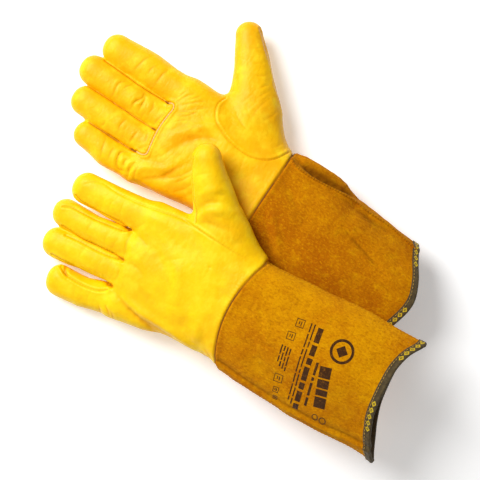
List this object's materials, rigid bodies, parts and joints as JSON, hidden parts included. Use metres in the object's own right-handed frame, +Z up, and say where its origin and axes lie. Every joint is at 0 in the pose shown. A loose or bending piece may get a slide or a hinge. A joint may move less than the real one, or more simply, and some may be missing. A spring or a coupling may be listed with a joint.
{
  "type": "welding gloves",
  "caption": "Pair of long leather TIG welding gauntlets: yellow hand with separate fingers and thumb, suede cuff, taped hem; one palm up, one resting over it.",
  "frame": {"origin": "centre of the pair's box, on the surface they lie on", "axes": "+Z up; +Y along the gloves towards the fingertips; +X towards both thumbs"},
  "size_m": [0.3038, 0.4054, 0.0988],
  "materials": {
    "glove_leather": "fine grain, satin",
    "suede": "napped suede, matte",
    "binding_tape": "woven tape",
    "thread": "twisted thread",
    "welt_leather": "raw cut edge"
  },
  "bodies": {
    "right_hand": {"right_palm_panel": "glove_leather", "right_back_panel": "glove_leather", "right_thumb_gusset": "glove_leather", "right_palm_welt": "welt_leather", "right_thumb_welt": "welt_leather", "right_wrist_seam": "welt_leather"},
    "right_cuff": {"right_cuff_palm_panel": "suede", "right_cuff_back_panel": "suede", "right_cuff_binding": "binding_tape", "right_binding_stitching": "thread", "right_cuff_seam_thumb_side": "suede", "right_cuff_seam_little_side": "suede"},
    "right_thumb": {"right_thumb_front": "glove_leather", "right_thumb_back": "glove_leather"},
    "right_index": {"right_index_front": "glove_leather", "right_index_back": "glove_leather", "right_index_fourchette": "glove_leather"},
    "right_middle": {"right_middle_front": "glove_leather", "right_middle_back": "glove_leather", "right_middle_fourchette": "glove_leather"},
    "right_ring": {"right_ring_front": "glove_leather", "right_ring_back": "glove_leather", "right_ring_fourchette": "glove_leather"},
    "right_little": {"right_little_front": "glove_leather", "right_little_back": "glove_leather", "right_little_fourchette": "glove_leather"},
    "left_hand": {"left_palm_panel": "glove_leather", "left_back_panel": "glove_leather", "left_thumb_gusset": "glove_leather", "left_palm_welt": "welt_leather", "left_thumb_welt": "welt_leather", "left_wrist_seam": "welt_leather"},
    "left_cuff": {"left_cuff_palm_panel": "suede", "left_cuff_back_panel": "suede", "left_cuff_binding": "binding_tape", "left_binding_stitching": "thread", "left_cuff_seam_thumb_side": "suede", "left_cuff_seam_little_side": "suede"},
    "left_thumb": {"left_thumb_front": "glove_leather", "left_thumb_back": "glove_leather"},
    "left_index": {"left_index_front": "glove_leather", "left_index_back": "glove_leather", "left_index_fourchette": "glove_leather"},
    "left_middle": {"left_middle_front": "glove_leather", "left_middle_back": "glove_leather", "left_middle_fourchette": "glove_leather"},
    "left_ring": {"left_ring_front": "glove_leather", "left_ring_back": "glove_leather", "left_ring_fourchette": "glove_leather"},
    "left_little": {"left_little_front": "glove_leather", "left_little_back": "glove_leather", "left_little_fourchette": "glove_leather"}
  },
  "joints": [
    {"name": "right_wrist_fold", "type": "hinge", "parent": "right_hand", "child": "right_cuff", "pos_m": [0.01657, -0.00045, 0.01467], "axis": [0.9976, -0.0698, 0], "range_deg": [0, 25]},
    {"name": "right_thumb_close", "type": "hinge", "parent": "right_hand", "child": "right_thumb", "pos_m": [0.10088, 0.05907, 0.02222], "axis": [0.0022, 0.0313, 0.9995], "range_deg": [0, 30]},
    {"name": "right_index_bend", "type": "hinge", "parent": "right_hand", "child": "right_index", "pos_m": [0.06585, 0.13081, 0.02482], "axis": [0.9976, -0.0698, 0], "range_deg": [0, 60]},
    {"name": "right_middle_bend", "type": "hinge", "parent": "right_hand", "child": "right_middle", "pos_m": [0.03625, 0.13286, 0.02452], "axis": [0.9994, -0.0349, -0.0011], "range_deg": [0, 60]},
    {"name": "right_ring_bend", "type": "hinge", "parent": "right_hand", "child": "right_ring", "pos_m": [0.00883, 0.13477, 0.02445], "axis": [0.9995, -0.0314, -0.0012], "range_deg": [0, 60]},
    {"name": "right_little_bend", "type": "hinge", "parent": "right_hand", "child": "right_little", "pos_m": [-0.01828, 0.13666, 0.02439], "axis": [0.9997, -0.0245, -0.0014], "range_deg": [0, 60]},
    {"name": "left_glove_lift", "type": "slide", "parent": "right_hand", "child": "left_hand", "axis": [0, 0, 1], "range_m": [0, 0.15]},
    {"name": "left_wrist_fold", "type": "hinge", "parent": "left_hand", "child": "left_cuff", "pos_m": [-0.08685, -0.03525, 0.05596], "axis": [-0.9751, -0.0844, -0.2052], "range_deg": [0, 25]},
    {"name": "left_thumb_close", "type": "hinge", "parent": "left_hand", "child": "left_thumb", "pos_m": [-0.01113, 0.03461, 0.0564], "axis": [-0.2777, 0.0844, 0.957], "range_deg": [0, 30]},
    {"name": "left_index_bend", "type": "hinge", "parent": "left_hand", "child": "left_index", "pos_m": [-0.0521, 0.09809, 0.02878], "axis": [-0.974, -0.1016, -0.2024], "range_deg": [0, 60]},
    {"name": "left_middle_bend", "type": "hinge", "parent": "left_hand", "child": "left_middle", "pos_m": [-0.07999, 0.09573, 0.02321], "axis": [-0.9747, -0.0913, -0.2041], "range_deg": [0, 60]},
    {"name": "left_ring_bend", "type": "hinge", "parent": "left_hand", "child": "left_ring", "pos_m": [-0.10749, 0.09335, 0.0175], "axis": [-0.9724, -0.1222, -0.1989], "range_deg": [0, 60]},
    {"name": "left_little_bend", "type": "hinge", "parent": "left_hand", "child": "left_little", "pos_m": [-0.13501, 0.0909, 0.01178], "axis": [-0.9669, -0.17, -0.1905], "range_deg": [0, 60]}
  ]
}
